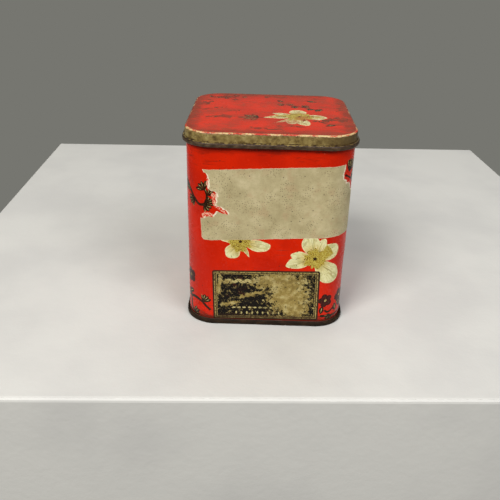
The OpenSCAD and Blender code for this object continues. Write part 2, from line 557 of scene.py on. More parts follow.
# Petals of a rose: angle, length, width and tip, as parts of its radius
ROSE_A = [(107, 1.0, 0.72, 0.5), (68, 0.92, 0.36, 0.6), (27, 1.0, 0.72, 0.5), (-48, 1.32, 0.92, 0.5),
          (170, 0.9, 0.4, 0.5), (197, 1.15, 0.52, 0.75)]
ROSE_B = [(235, 0.98, 0.72, 0.5), (-13, 1.4, 0.62, 0.5), (-61, 0.9, 0.2, 1.0), (100, 1.1, 0.8, 0.5),
          (160, 1.0, 0.6, 0.5), (40, 1.0, 0.6, 0.5)]
ROSE_C = [(90, 1.05, 0.8, 0.5), (165, 1.0, 0.75, 0.5), (230, 1.15, 0.8, 0.55), (300, 1.0, 0.7, 0.5),
          (15, 1.1, 0.75, 0.55)]
ROSE_LID = [(155, 1.1, 0.4, 0.6), (188, 1.42, 0.5, 0.8), (93, 1.0, 0.7, 0.5), (-5, 1.05, 0.75, 0.6),
            (248, 1.1, 0.62, 0.5), (278, 1.2, 0.5, 0.5), (225, 1.35, 0.2, 1.0)]


def front_artwork(art):
    """Flowers, twigs and the name panel on the side with the label."""
    middle = (25.2, 41.2)
    rose(art, middle, 13.5, ROSE_A)
    smear = [(29.5, 46.5), (31, 49.5), (33, 47.5), (35, 44), (33, 42.3), (30, 43)]
    art.paint("stamens", uneven(smear, 0.2), middle)
    rose(art, (-13.8, 50), 11, ROSE_B, stamens=0.5)
    # Twigs that come round the left corner
    twig = [(-62, 76), (-54, 82), (-46, 80), (-42, 76.5), (-38, 71.5), (-34.5, 69.3), (-30.6, 71)]
    branch(art, twig, 1.9, 1.3)
    branch(art, [(-32, 70), (-31, 74), (-32, 78)], 1.6, 1.0)
    for x, z, angle, length in ((-32, 77.5, 130, 5.5), (-30.6, 74.6, 60, 4.5), (-32.7, 69.8, -35, 5),
                                (-38.3, 71.3, 205, 5), (-44, 79, 250, 5), (-31, 71, 20, 4)):
        fan_leaf(art, (x, z), angle, length)
    blossom(art, (-43, 26), 4.6)
    twig = [(-58, 16), (-50, 14), (-44, 13), (-39, 13.8), (-34.5, 12.4), (-31.8, 10), (-29.4, 7.8)]
    branch(art, twig, 2.0, 1.3)
    branch(art, [(-44.5, 17), (-43, 11.5), (-42.6, 7), (-40.4, 3.6)], 1.9, 1.3)
    fan_leaf(art, (-34, 12.2), 60, 5.6, 70)
    fan_leaf(art, (-40.8, 3.6), 15, 5.4, 80)
    leaf(art, (-45.5, 14.6), 30, 6, 3)
    # Shreds of paper left where the label tore away
    for run in (((-27, 76), (-27.4, 72), (-25.6, 68.6), (-21.6, 66)),
                ((-33.6, 63.4), (-30.6, 64.6), (-27.2, 64.2)),
                ((-30.4, 83.5), (-29.6, 80), (-27.6, 77.6))):
        art.paint("shred", uneven(stroke_outline(run, 2.6, 1.2), 0.45, 1), run[0])
    # Twigs and blossoms at the right corner
    for x, z, angle, length in ((41, 87.5, 70, 8), (43.5, 84, 20, 6), (47, 88, 100, 6)):
        fan_leaf(art, (x, z), angle, length, 60)
    branch(art, [(38, 86.5), (43, 84), (50, 80), (60, 82)], 1.2)
    blossom(art, (32.8, 15.6), 4.3)
    blossom(art, (43.5, 15.9), 4.8)
    branch(art, [(30.3, 6), (36, 5.2), (42, 5.4), (49, 7), (58, 6)], 1.5, 1.1)
    branch(art, [(32.5, 9.5), (35, 8), (38, 9.5), (40, 12)], 1.3, 1.0)
    leaf(art, (40.2, 7), 100, 5.2, 3)
    leaf(art, (30.4, 7), 80, 4.8, 2.6)
    leaf(art, (33, 4), 8, 5, 2.4)
    fan_leaf(art, (44, 8.4), 80, 5.6, 80, 4)
    fan_leaf(art, (36.4, 6.4), 230, 4.2, 80, 3)
    name_panel(art)


def side_artwork(art):
    """The three sides away from the label, in the manner of the front."""
    right, back, left = SIDE, 2 * SIDE, -SIDE
    rose(art, (right - 12, 62), 13, ROSE_C)
    rose(art, (right + 15, 36), 12, ROSE_A)
    rose(art, (right + 13, 84), 9.5, ROSE_B)
    spray(art, (right - 24, 20), 8, 1.0)
    spray(art, (right + 27, 50), 100, 0.9, -1)
    spray(art, (right - 26, 82), 15, 0.8)
    rose(art, (left + 8, 50), 13.5, ROSE_A)
    rose(art, (left - 17, 76), 11, ROSE_C)
    rose(art, (left - 15, 28), 10, ROSE_B)
    spray(art, (left + 8, 68), 20, 0.9)
    spray(art, (left - 2, 12), 5, 0.9)
    spray(art, (left - 24, 44), 95, 0.7)
    rose(art, (back - 30, 68), 13, ROSE_C)
    rose(art, (-back + 30, 40), 13, ROSE_A)
    rose(art, (back - 26, 26), 10.5, ROSE_B)
    spray(art, (back - 40, 42), 8, 0.9)
    spray(art, (-back + 8, 66), 10, 1.0)
    spray(art, (-back + 8, 12), 12, 0.9)
    spray(art, (back - 36, 88), -12, 0.7)


def lid_artwork(art):
    """One flower, twigs and rubbed patches on the lid's top."""
    for x, y, length, width, turn in ((-32, 5, 11, 3.4, 30), (-27, -11, 12, 3, 8), (-35, 20, 4, 10, 0),
                                      (-27, 33, 11, 4, 5), (26, 34, 9, 3, -10), (37, 12, 3, 14, 0),
                                      (36, -12, 5, 12, 10), (27, -14, 9, 6, 30), (8, -27, 12, 3, -4),
                                      (-4, -33, 16, 1.6, 0), (-20, 3, 8, 1.6, 4), (4, 36, 12, 2, 0)):
        scuff(art, (x, y), length, width, turn)
    for angle, length in ((120, 7), (150, 9), (180, 10.5), (208, 9), (238, 7)):
        leaf(art, (-6.5, -11), angle, length, 3)
    branch(art, [(-7, -11), (-2, -11), (4, -10)], 1.0)
    branch(art, [(24, 8), (17, 13), (12, 15.5), (8, 17.5)], 1.2)
    for x, y, angle, length in ((10, 17, 60, 4.5), (14, 14, 240, 4), (18, 13, 50, 5), (22, 10, 260, 4),
                                (24, 8, 330, 5), (8, 17.5, 170, 5)):
        fan_leaf(art, (x, y), angle, length)
    leaf(art, (20, 29), -25, 7, 3.5)
    leaf(art, (4, 29), -60, 6, 3)
    leaf(art, (27, -25), 30, 6, 3)
    branch(art, [(25, -17), (29, -21), (33, -22), (38, -22)], 0.8)
    middle = (15, -8)
    rose(art, middle, 13.2, ROSE_LID, stamens=0.52)
    # Places where its petals are rubbed to gold and to brown
    for x, y, length, turn in ((5, -6.6, 8, 8), (1.5, -9.4, 7, -6), (10, -14, 6, 70), (24, -9, 5, 0)):
        worn = turned(petal_outline(length, 2.4, 0.2, 0.8, 26) - (length / 2, 0), turn, (x, y))
        art.paint("stamens", uneven(worn, 0.5, 1), middle)
    for x, y, length, turn in ((7, -8.8, 7, 12), (17, -15, 6, 80), (21, -6.6, 6, -8), (12, -3, 5, 30)):
        worn = turned(petal_outline(length, 1.3, 0.2, 0.9, 22) - (length / 2, 0), turn, (x, y))
        art.paint("anther", uneven(worn, 0.4, 1), middle)
    spray(art, (-34, 34), -30, 0.6)


# ---------------------------------------------------------------- materials


def colour(values):
    """Linear colour from the usual red, green and blue of 0 to 255."""
    parts = [c / 255 for c in values]
    return tuple(c / 12.92 if c < 0.04045 else ((c + 0.055) / 1.055) ** 2.4 for c in parts) + (1.0,)


class Field:
    """A value worked out by a material's nodes; each sum, product or power adds a node."""

    def __init__(self, look, socket):
        self.look = look
        self.socket = socket

    def __add__(self, other):
        return self.look.math("ADD", self, other)

    def __sub__(self, other):
        return self.look.math("SUBTRACT", self, other)

    def __rsub__(self, other):
        return self.look.math("SUBTRACT", other, self)

    def __mul__(self, other):
        return self.look.math("MULTIPLY", self, other)

    def __truediv__(self, other):
        return self.look.math("DIVIDE", self, other)

    def __pow__(self, other):
        return self.look.math("POWER", self, other)

    def __abs__(self):
        return self.look.math("ABSOLUTE", self)


class Look:
    """A material being put together from nodes."""

    def __init__(self, name, **settings):
        self.material = bpy.data.materials.new(name)
        self.material.use_nodes = True
        self.tree = self.material.node_tree
        self.shader = self.tree.nodes["Principled BSDF"]
        for socket, value in settings.items():
            self.shader.inputs[socket.replace("_", " ")].default_value = value
        metres = self.node("TexCoord", "Object", {})
        self.place = self.node("VectorMath", 0, {0: metres, "Scale": 1 / MM}, operation="SCALE")
        self.sheet = self.node("Attribute", "Vector", {}, attribute_name="sheet")
        self.motif = self.node("Attribute", "Vector", {}, attribute_name="motif")
        self.height = self.split(self.place, "Z")

    def node(self, kind, output, inputs, **settings):
        """Adds a shader node, feeds its inputs and gives one of its outputs."""
        made = self.tree.nodes.new("ShaderNode" + kind)
        for name, value in settings.items():
            setattr(made, name, value)
        for name, value in inputs.items():
            self.feed(made.inputs[name], value)
        return Field(self, made.outputs[output])

    def feed(self, socket, value):
        """Links a field to a socket, or sets it to a number or to a 0-255 colour."""
        if isinstance(value, Field):
            self.tree.links.new(value.socket, socket)
        else:
            socket.default_value = colour(value) if isinstance(value, tuple) else value

    def split(self, vector, axis):
        return self.node("SeparateXYZ", axis, {0: vector})

    def math(self, operation, first, second=0.0):
        return self.node("Math", 0, {0: first, 1: second}, operation=operation)

    def noise(self, size, detail=3.0, roughness=0.55, stretch=(1, 1, 1), where=None):
        """Noise whose features are about size millimetres; stretch lengthens them."""
        where = self.place if where is None else where
        scale = [1 / (size * s) for s in stretch]
        scaled = self.node("VectorMath", 0, {0: where, 1: scale}, operation="MULTIPLY")
        inputs = {"Vector": scaled, "Scale": 1.0, "Detail": detail, "Roughness": roughness}
        return self.node("TexNoise", "Fac", inputs)

    def patches(self, low, high, *noise):
        """Noise sharpened into patches: 0 where it is below low, 1 where it is above high."""
        return self.step(self.noise(*noise), low, high)

    def dots(self, spacing, radius, share=1.0):
        """Soft dots on the sheet, about spacing apart; share of the places have one."""
        cells = {"Vector": self.sheet, "Scale": 1 / spacing}
        distance = self.node("TexVoronoi", "Distance", cells, voronoi_dimensions="2D")
        dot = self.step(distance, 1.25 * radius / spacing, 0.7 * radius / spacing)
        chance = self.split(Field(self, distance.socket.node.outputs["Color"]), "X")
        return dot * self.math("LESS_THAN", chance, share)

    def step(self, value, low, high):
        """0 below low, 1 above high, smooth between; low may be the larger."""
        start, end = (0.0, 1.0) if low < high else (1.0, 0.0)
        inputs = {"Value": value, "From Min": min(low, high), "From Max": max(low, high),
                  "To Min": start, "To Max": end}
        return self.node("MapRange", 0, inputs, interpolation_type="SMOOTHSTEP")

    def mix(self, amount, first, second):
        """The first colour where amount is 0, the second where it is 1."""
        inputs = {"Factor": amount, "A": first, "B": second}
        return self.node("Mix", "Result", inputs, data_type="RGBA")

    def ramp(self, value, *stops):
        """Colours along a value; each stop is (value, colour), lowest first."""
        made = self.tree.nodes.new("ShaderNodeValToRGB")
        elements = made.color_ramp.elements
        for element, (position, tint) in ((elements[1], stops[-1]), (elements[0], stops[0])):
            element.position = position
            element.color = colour(tint)
        for position, tint in stops[1:-1]:
            elements.new(position).color = colour(tint)
        self.feed(made.inputs[0], value)
        return Field(self, made.outputs[0])

    def finish(self, tint, roughness, heights, metal=None):
        """Joins the results to the shader; heights is (height in mm, field) pairs."""
        self.feed(self.shader.inputs["Base Color"], tint)
        self.feed(self.shader.inputs["Roughness"], roughness)
        if metal is not None:
            self.feed(self.shader.inputs["Metallic"], metal)
        below = {}
        for amount, height in heights:
            inputs = {"Strength": 1.0, "Distance": amount * MM, "Height": height}
            below = {"Normal": self.node("Bump", 0, inputs | below)}
        self.feed(self.shader.inputs["Normal"], below["Normal"])
        return self.material


RED = (202, 33, 2)
DEEP_RED = (181, 26, 2)
LID_RED = (202, 42, 11)
LID_DEEP_RED = (180, 36, 13)
PALE_CREAM = (224, 218, 172)
DARK = (38, 24, 16)
RUST = (86, 44, 20)
DARK_RUST = (44, 26, 15)
PRIMER = (206, 168, 132)


def wear(look, tint, amount):
    """Rubs, rust spots and scratches over an ink; gives colour, roughness and height."""
    rubbed = look.patches(0.6, 0.8, 9, 5, 0.62)
    tint = look.mix(rubbed * (0.45 * amount), tint, (120, 30, 16))
    scratch = look.noise(0.5, 2, 0.5, (26, 0.7, 1), look.sheet)
    scratch = look.step(scratch, 0.68, 0.74) * look.patches(0.5, 0.62, 14, 2)
    tint = look.mix(scratch * (0.7 * amount), tint, (96, 40, 24))
    spots = look.dots(3.1, 0.26, 0.22) * look.patches(0.5, 0.56, 9, 3)
    tint = look.mix(spots * amount, tint, DARK_RUST)
    chips = look.patches(0.735, 0.75, 1.3, 4, 0.7)
    tint = look.mix(chips * amount, tint, PRIMER)
    rough = look.noise(5, 4) * 0.2 + 0.16 + look.math("MAXIMUM", spots * 0.35, rubbed * 0.2)
    relief = look.noise(0.9, 3) - (chips + scratch)
    return tint, rough, relief


def body_marks(look, tint):
    """Darker in a ragged band up to the lid, with grime in streaks below it, above the seam and along the
    join at the back.
    """
    # Darker in a ragged band that reaches up to the lid
    smear = look.noise(4, 5, 0.66, (3.5, 1, 1), look.sheet) * 16.0
    upper = look.step(smear + look.height, LID_Z + 4, LID_Z + 8)
    tint = look.mix(upper * 0.5, tint, (110, 22, 6))
    streak = look.patches(0.52, 0.64, 1.1, 5, 0.68, (8, 1, 1), look.sheet)
    streak = streak * look.step(look.height, LID_Z - 14, LID_Z - 6)
    streak = streak * look.patches(0.46, 0.56, 17, 2)
    tint = look.mix(streak * 0.7, tint, (98, 26, 12))
    fray = look.noise(3.5, 5, 0.7, (2, 1, 1), look.sheet) * 11.0
    lower = look.step(look.height - fray, 1.6, -2.4)
    tint = look.mix(lower * 0.8, tint, DARK_RUST)
    under_lid = look.step(look.height, LID_Z + 0.3, LID_Z + 1.2)
    rubbed = under_lid * look.patches(0.53, 0.66, 0.9, 5, 0.7, (1, 1, 8))
    tint = look.mix(rubbed * 0.8, tint, (134, 118, 100))
    across = look.split(look.sheet, "X")
    for join in (JOIN, JOIN - PERIMETER):
        near = abs(across - join) - look.noise(1.1, 4) * 1.5
        tint = look.mix(look.step(near, 0.05, -0.35), tint, (128, 96, 70))
    return tint


def printed(name, ink, dirt=body_marks, amount=1.0, rub=0.05, gloss=0.15):
    """A litho ink on tinplate. ink(look) gives its own colour before the wear."""
    look = Look(name, IOR=1.5, Specular_IOR_Level=gloss)
    tint, rough, relief = wear(look, ink(look), amount)
    tint = dirt(look, tint)
    return look.finish(tint, rough, [(rub, relief), (0.02, look.noise(0.35, 2))])


def red_ink(look, light=RED, deep=DEEP_RED):
    """The ground colour, in two reds that shade into each other."""
    tint = look.mix(look.patches(0.35, 0.7, 22, 3), light, deep)
    return look.mix(look.patches(0.5, 0.75, 1.4, 3, 0.7) * 0.2, tint, (214, 40, 14))


def lid_red_ink(look):
    """The lid's red, duller than the wall's."""
    return red_ink(look, LID_RED, LID_DEEP_RED)


def petal_ink(look):
    """Green-cream, warmer towards the middle of the flower, with fine veins."""
    x, y = look.split(look.motif, "X"), look.split(look.motif, "Y")
    reach = (x * x + y * y) ** 0.5
    angle = look.math("ARCTAN2", y, x)
    # Noise drawn out along the petal, different in each one
    ray = look.node("CombineXYZ", 0, {0: angle * 14.0, 1: reach * 0.12, 2: look.split(look.motif, "Z")})
    veins = look.noise(1.0, 3, 0.6, (1, 1, 1), ray)
    tint = look.ramp(veins, (0.32, (186, 176, 118)), (0.46, (212, 206, 154)),
                     (0.70, (222, 218, 174)))
    tint = look.mix(look.step(reach, 10.5, 4.0) * 0.75, tint, (190, 158, 66))
    shade = look.patches(0.47, 0.64, 4, 3)
    tint = look.mix(shade * 0.55, tint, (164, 160, 102))
    stain = look.patches(0.57, 0.66, 2.6, 5, 0.65)
    tint = look.mix(stain * 0.5, tint, (146, 116, 56))
    flecks = look.dots(1.7, 0.22, 0.3)
    return look.mix(flecks * 0.6, tint, (112, 84, 40))


def lid_petal_ink(look):
    """The lid's petals, browned where hands have rubbed them."""
    stain = look.patches(0.5, 0.6, 1.6, 5, 0.72, (1.6, 1, 1))
    return look.mix(stain * 0.65, petal_ink(look), (146, 108, 50))


def fold_ink(look):
    return look.mix(look.noise(1.2, 3), (134, 120, 62), (178, 168, 108))


def petal_edge_ink(look):
    return look.mix(look.patches(0.4, 0.7, 1.2, 3), PALE_CREAM, (186, 174, 112))


def stamen_ink(look):
    """Cream and gold, with fine brown dots and a few gold patches."""
    tint = look.mix(look.dots(0.8, 0.3), (182, 166, 80), (160, 134, 42))
    tint = look.mix(look.dots(1.0, 0.24, 0.5), tint, (112, 82, 24))
    return look.mix(look.patches(0.5, 0.65, 1.5, 2) * 0.5, tint, (140, 116, 44))


def anther_ink(look):
    return look.mix(look.noise(0.6, 2), (120, 78, 18), (72, 46, 14))


def scuff_ink(look):
    """Red rubbed through in short streaks to brown."""
    through = look.patches(0.36, 0.56, 1.1, 5, 0.7, (4, 1, 1), look.sheet)
    brown = look.mix(look.noise(0.8, 3), (66, 34, 16), (114, 60, 32))
    return look.mix(through, DEEP_RED, brown)


def shred_ink(look):
    return look.mix(look.patches(0.45, 0.56, 0.7, 4, 0.7), (206, 54, 34), (222, 176, 150))


def leaf_ink(look):
    return look.mix(look.patches(0.45, 0.7, 0.8, 3), (28, 16, 8), (70, 38, 14))


def vein_ink(look):
    return look.mix(look.patches(0.4, 0.65, 0.7, 3), (196, 176, 112), (120, 92, 44))


def blossom_ink(look):
    return look.mix(look.patches(0.42, 0.66, 1.1, 3), (46, 13, 9), (76, 22, 14))


def dark_ink(look):
    return look.mix(look.patches(0.4, 0.7, 0.6, 2), DARK, (64, 38, 22))


def gold_ink(look):
    worn = look.patches(0.48, 0.58, 0.9, 5, 0.7)
    return look.mix(worn, (162, 144, 86), (66, 50, 24))


def panel_wear(look):
    """1 where the black of the name panel is rubbed away: mostly right of the middle."""
    x, y = look.split(look.motif, "X"), look.split(look.motif, "Y")

    def patch(at_x, at_y, wide, high, rise=0.0, least=0.0):
        """Least at a place, and 1 more at wide and high from it; rise slants it."""
        dx = (x - at_x) / wide
        level = y - x * rise
        dy = (level - (at_y - rise * at_x)) / high
        return (dx * dx + dy * dy) ** 0.5 + least

    near = patch(12.5, 0, 10.5, 10)
    for other in (patch(16, -8, 7, 6), patch(6, 9.5, 13, 5), patch(-8, 0.4, 10, 1.6, 0.27, 0.35),
                  patch(-3, 5, 5, 2, -0.4, 0.5), patch(-19, -5.4, 7, 1.6, 0.2, 0.35),
                  patch(-25, 6, 1.6, 8, 3, 0.3), patch(-21, 8, 4, 2, 0, 0.5)):
        near = look.math("MINIMUM", near, other)
    rough = (look.noise(2.0, 7, 0.8) - 0.5) * 4.8
    return look.step(near + rough, 1.08, 0.98)


def worn_khaki(look):
    """The dull gold that shows where the panel's black has gone."""
    tint = look.ramp(look.noise(3.2, 5, 0.65), (0.3, (112, 92, 46)), (0.5, (146, 127, 71)),
                     (0.7, (182, 168, 116)))
    return look.mix(look.patches(0.58, 0.66, 0.6, 4, 0.75), tint, (98, 78, 40))


def field_ink(look):
    """The name panel's black, flecked, with the worn part bare."""
    specks = look.patches(0.58, 0.61, 1.3, 6, 0.78)
    black = look.mix(specks, (16, 12, 9), (150, 130, 80))
    return look.mix(panel_wear(look), black, worn_khaki(look))


def faded_ink(look):
    """The ornament's pale gold, which shows against black and sinks into the worn part."""
    pale = look.mix(look.patches(0.5, 0.62, 0.5, 3), (182, 168, 112), (70, 58, 34))
    return look.mix(panel_wear(look), pale, look.mix(0.35, worn_khaki(look), (104, 88, 50)))


def lid_dirt(look, tint):
    """Brown rubbing round the rim, haze and streaks inside it, pale chips along the front."""
    x, y = look.split(look.place, "X"), look.split(look.place, "Y")
    edge = look.math("MAXIMUM", abs(x), abs(y))
    ragged = edge + look.noise(5, 5, 0.68) * 18.0
    rim = look.step(ragged, 42.5, 50)
    tint = look.mix(rim * 0.8, tint, (108, 44, 24))
    haze = look.patches(0.47, 0.62, 11, 5, 0.68)
    tint = look.mix(haze * 0.5, tint, (158, 54, 30))
    streak = look.patches(0.53, 0.62, 1.6, 5, 0.72, (6, 1, 1)) * look.patches(0.44, 0.54, 13, 2)
    tint = look.mix(streak * 0.65, tint, (122, 58, 32))
    front = y + look.noise(0.8, 5, 0.75) * 4.0
    chips = look.step(front, -39.9, -40.3) * look.patches(0.46, 0.54, 9, 3)
    return look.mix(chips, tint, (200, 174, 126))


def skirt_paint_and_shade(look):
    """The mottled gold band of the lid's skirt, with painted shade: browner towards its right side."""
    band = look.ramp(look.noise(3.6, 6, 0.68), (0.32, (70, 52, 24)), (0.44, (112, 93, 47)),
                     (0.56, (138, 119, 69)), (0.72, (166, 151, 98)))
    streak = look.patches(0.54, 0.64, 0.9, 5, 0.7, (1.5, 1.5, 1))
    band = look.mix(streak * 0.55, band, (66, 46, 20))
    # Painted shade: darker and browner towards the right side, away from the key light
    brown = look.step(look.split(look.place, "X"), 12, 44)
    return look.mix(brown * 0.8, band, (70, 50, 24))


def skirt_fray(look, spread):
    """Height with a ragged shift of about spread millimetres."""
    shift = look.noise(1.5, 6, 0.75, (1.6, 1.6, 1)) - 0.5
    return look.height - shift * spread


def lid_edge_look():
    """The drawn edge and skirt: red, then a worn pale line and the gold band."""
    look = Look("lid_edge", IOR=1.5, Specular_IOR_Level=0.4)
    ragged = skirt_fray(look, 1.6)
    tint = look.mix(look.step(ragged, TIN_H - 0.8, TIN_H - 0.6), skirt_paint_and_shade(look), (92, 44, 20))
    tint = look.mix(look.step(skirt_fray(look, 3.4), LID_Z + BEAD_H + 0.3, LID_Z + BEAD_H), tint, DARK_RUST)
    front = look.step(look.split(look.place, "Y"), -24, -34)
    brown = look.mix(look.noise(2, 4), (70, 34, 20), (150, 46, 24))
    edge = look.mix(front, brown, (186, 40, 16))
    tint = look.mix(look.step(ragged, TIN_H - 0.5, TIN_H - 0.3), tint, edge)
    worn = look.noise(7, 3) + front * 0.13 + (look.noise(0.5, 5, 0.8) - 0.5) * 1.3
    line = look.step(ragged, TIN_H - 0.65, TIN_H - 0.5) * look.step(worn, 0.6, 0.66)
    pale = look.mix(look.noise(0.8, 3), (214, 196, 142), (172, 142, 94))
    tint = look.mix(line, tint, pale)
    rough = look.noise(2, 4) * 0.3 + 0.32
    return look.finish(tint, rough, [(0.04, look.noise(1.0, 4, 0.6)), (0.02, look.noise(0.3, 2))])


def rust_ramp(look, light, mid, dark):
    """Blotches of three browns with light specks."""
    tint = look.ramp(look.noise(3.0, 6, 0.7, (1, 1, 0.6)), (0.32, dark), (0.52, mid), (0.72, light))
    specks = look.patches(0.62, 0.7, 0.6, 3, 0.7)
    return look.mix(specks * 0.6, tint, light)


def bead_look():
    """The curled bead: grey-brown metal, with the skirt's paint flaking off its top."""
    look = Look("lid_bead", IOR=1.5, Specular_IOR_Level=0.4, Metallic=0.2)
    tint = rust_ramp(look, (108, 88, 64), (72, 55, 38), (38, 27, 16))
    ragged = skirt_fray(look, 2.4)
    tint = look.mix(look.step(ragged, LID_Z + 1.75, LID_Z + 2.0), tint, DARK_RUST)
    tint = look.mix(look.step(ragged, LID_Z + 2.22, LID_Z + 2.36), tint, skirt_paint_and_shade(look))
    rough = look.noise(1.5, 4) * 0.3 + 0.35
    return look.finish(tint, rough, [(0.08, look.noise(0.9, 5, 0.7))])


def rusty_look(name, light, mid, dark):
    """Bare folded metal gone brown in blotches."""
    look = Look(name, IOR=1.5, Specular_IOR_Level=0.12)
    rough = look.noise(1.5, 4) * 0.3 + 0.45
    return look.finish(rust_ramp(look, light, mid, dark), rough, [(0.08, look.noise(0.9, 5, 0.7))])


def tinplate_look():
    """Plain tinplate inside: dull grey, rolled, with brown stains in patches."""
    look = Look("tinplate", IOR=1.6)
    rolled = look.noise(0.8, 3, 0.5, (1, 1, 18))
    tint = look.ramp(rolled, (0.3, (142, 138, 128)), (0.7, (176, 172, 160)))
    stain = look.patches(0.52, 0.68, 9, 6, 0.66)
    tint = look.mix(stain * 0.75, tint, (110, 84, 58))
    rust = look.patches(0.66, 0.72, 2.4, 6, 0.72)
    tint = look.mix(rust, tint, RUST)
    metal = 0.85 - look.math("MAXIMUM", stain, rust) * 0.65
    rough = stain * 0.25 + 0.34
    return look.finish(tint, rough, [(0.03, look.noise(1.2, 5, 0.7))], metal)


def paper_look():
    """Aged khaki paper: mottled, foxed and peppered with fine dark specks."""
    look = Look("label_paper", IOR=1.45, Specular_IOR_Level=0.35, Sheen_Weight=0.1)
    tint = look.ramp(look.noise(9, 6, 0.66), (0.30, (158, 145, 106)), (0.5, (174, 161, 122)),
                     (0.70, (192, 179, 141)))
    warm = look.patches(0.52, 0.66, 7, 4, 0.6)
    tint = look.mix(warm * 0.4, tint, (172, 144, 108))
    crowd = look.patches(0.45, 0.6, 11, 3) * 0.75 + 0.15
    specks = look.dots(1.25, 0.2, 0.7) * crowd
    tint = look.mix(specks, tint, (92, 82, 48))
    smudge = look.patches(0.57, 0.66, 1.6, 5, 0.75) * crowd
    tint = look.mix(smudge * 0.5, tint, (128, 116, 80))
    tint = look.mix(look.dots(5.3, 0.3, 0.3) * 0.8, tint, (66, 56, 34))
    fibre = look.noise(0.5, 3, 0.6, (5, 1, 1), look.sheet)
    tint = look.mix(look.step(fibre, 0.55, 0.75) * 0.25, tint, (206, 196, 164))
    rough = look.noise(3, 3) * 0.2 + 0.62
    return look.finish(tint, rough, [(0.05, look.noise(2.5, 4, 0.6)), (0.02, fibre)])


def fibre_look():
    """The pale inside of the paper where its face has torn away."""
    look = Look("torn_fibre", IOR=1.4, Specular_IOR_Level=0.25)
    tint = look.ramp(look.noise(1.0, 4, 0.7), (0.34, (196, 150, 124)), (0.5, (222, 208, 180)),
                     (0.7, (238, 232, 214)))
    return look.finish(tint, 0.85, [(0.08, look.noise(0.5, 4, 0.7))])


# ---------------------------------------------------------------- pieces


def grid_rows(low, high, step):
    """Evenly spaced values from low to high, about step apart."""
    return np.linspace(low, high, int(round((high - low) / step)) + 1)


def unit(rows):
    """The rows scaled to length 1."""
    return rows / np.linalg.norm(rows, axis=1)[:, None]


def sheet_normals(flat, place):
    """Normals of a surface given as a function of (along, height)."""
    reach = 0.05
    run = place(flat[:, 0] + reach, flat[:, 1]) - place(flat[:, 0] - reach, flat[:, 1])
    rise = place(flat[:, 0], flat[:, 1] + reach) - place(flat[:, 0], flat[:, 1] - reach)
    return unit(np.cross(run, rise))


# Spacing of the wall's rows
ROW_GAP = 3.4


def body_wall(looks):
    """The wrapped sheet: printed face, hem, inner face, lock seam and hooked foot."""
    shell = Shell("body_sheet", looks)
    top, foot = MOUTH_Z - SHEET_T, SEAM_H
    hem_foot = MOUTH_Z - HEM_H
    printed_face(shell, foot, top)
    hem = arc((-SHEET_T, top), SHEET_T, 0, 180, 6)
    hem += [(-2 * SHEET_T, hem_foot), (-SHEET_T - 0.01, hem_foot)]
    inside_wall = [(-SHEET_T, z) for z in (hem_foot - 0.5, 80, 60, 40, 20, 8)]
    chain = hem + inside_wall + foot_hook() + [(0, foot)]
    shell.sweep(chain, wall_place, ["red"] * 3 + ["tinplate"] * (len(chain) - 4))
    lock_seam(shell)
    return shell.build()


def printed_face(shell, foot, top):
    """The outer face from join to join, cut along the outlines of its print."""
    margin = 0.9
    art = Artwork((JOIN - PERIMETER + margin, foot + 0.1), (JOIN - margin, LID_Z + 1), "red")
    side_artwork(art)
    front_artwork(art)
    rows = grid_rows(foot, top, ROW_GAP)[1:-1]
    tall = len(rows)
    inner = [(x, z) for x in STATIONS[1:-1] for z in rows]
    # Upright edges, so that the triangles bend round the corners in columns
    edges = [(c * tall + r, c * tall + r + 1) for c in range(len(STATIONS) - 2) for r in range(tall - 1)]
    boundary = ([(x, foot) for x in STATIONS] + [(STATIONS[-1], z) for z in rows]
                + [(x, top) for x in STATIONS[::-1]] + [(STATIONS[0], z) for z in rows[::-1]])
    flat, faces = fill(boundary, inner, art.outlines(), edges)
    inks, motif = art.inks_of(flat, faces)

    def face_place(along, height):
        return wall_place(along, 0.0, height)

    shell.add(face_place(*flat.T), faces, inks, flat, motif, sheet_normals(flat, face_place))


def foot_hook():
    """Section of the wall's foot, hooked outwards and up inside the base seam."""
    bend = SHEET_T + 0.1
    start = SHEET_T + FOLD_GAP + bend
    hook_top = SEAM_H - SHEET_T - SEAM_GAP
    inner, outer = (bend - SHEET_T, start), (HOOK_OUT - bend, start)
    down = arc(inner, bend, 180, 270, 4) + arc(outer, bend, 270, 360, 4)
    back = arc(outer, bend - SHEET_T, 0, -90, 3) + arc(inner, bend - SHEET_T, 270, 180, 3)
    return down + [(HOOK_OUT, hook_top), (HOOK_OUT - SHEET_T, hook_top)] + back


def lock_seam(shell):
    """The folded strip inside the back, where the edges of the sheet are hooked."""
    layer = SHEET_T + FOLD_GAP
    depth = 3 * layer + SHEET_T
    back = FLAT + CORNER_R - SHEET_T
    half = LOCK_W / 2
    curl = 0.45
    curl_y = back - depth + SHEET_T + curl
    corners = [(half, back)] + arc((half - curl, curl_y), curl, 0, -90, 3)
    corners += arc((-half + curl, curl_y), curl, -90, -180, 3) + [(-half, back)]
    low, high = PANEL_LIFT + SHEET_T + 1, MOUTH_Z - HEM_H - 1
    points = np.array([(x, y, z) for z in (low, high) for x, y in corners])
    count = len(corners)
    faces = [(k, (k + 1) % count, count + (k + 1) % count, count + k) for k in range(count)]
    faces = [face[::-1] for face in faces] + [list(range(count)), list(range(count, 2 * count))[::-1]]
    shell.add(points, faces, "tinplate", points[:, [0, 2]])


def plan_fill(out, place, art, spacing=4.0):
    """A flat fill of the tin's plan at a distance outwards, with its boundary on the stations."""
    edge = place(STATIONS[:-1], out, 0.0)[:, :2]
    reach = abs(edge).max()
    margin = 1.5
    grid = np.arange(-reach, reach, spacing)
    inner = np.array([(x, y) for x in grid for y in grid])
    inner = inner[inside(inner, edge * (1 - margin / reach))]
    return fill(edge, inner, art.outlines() if art else ())


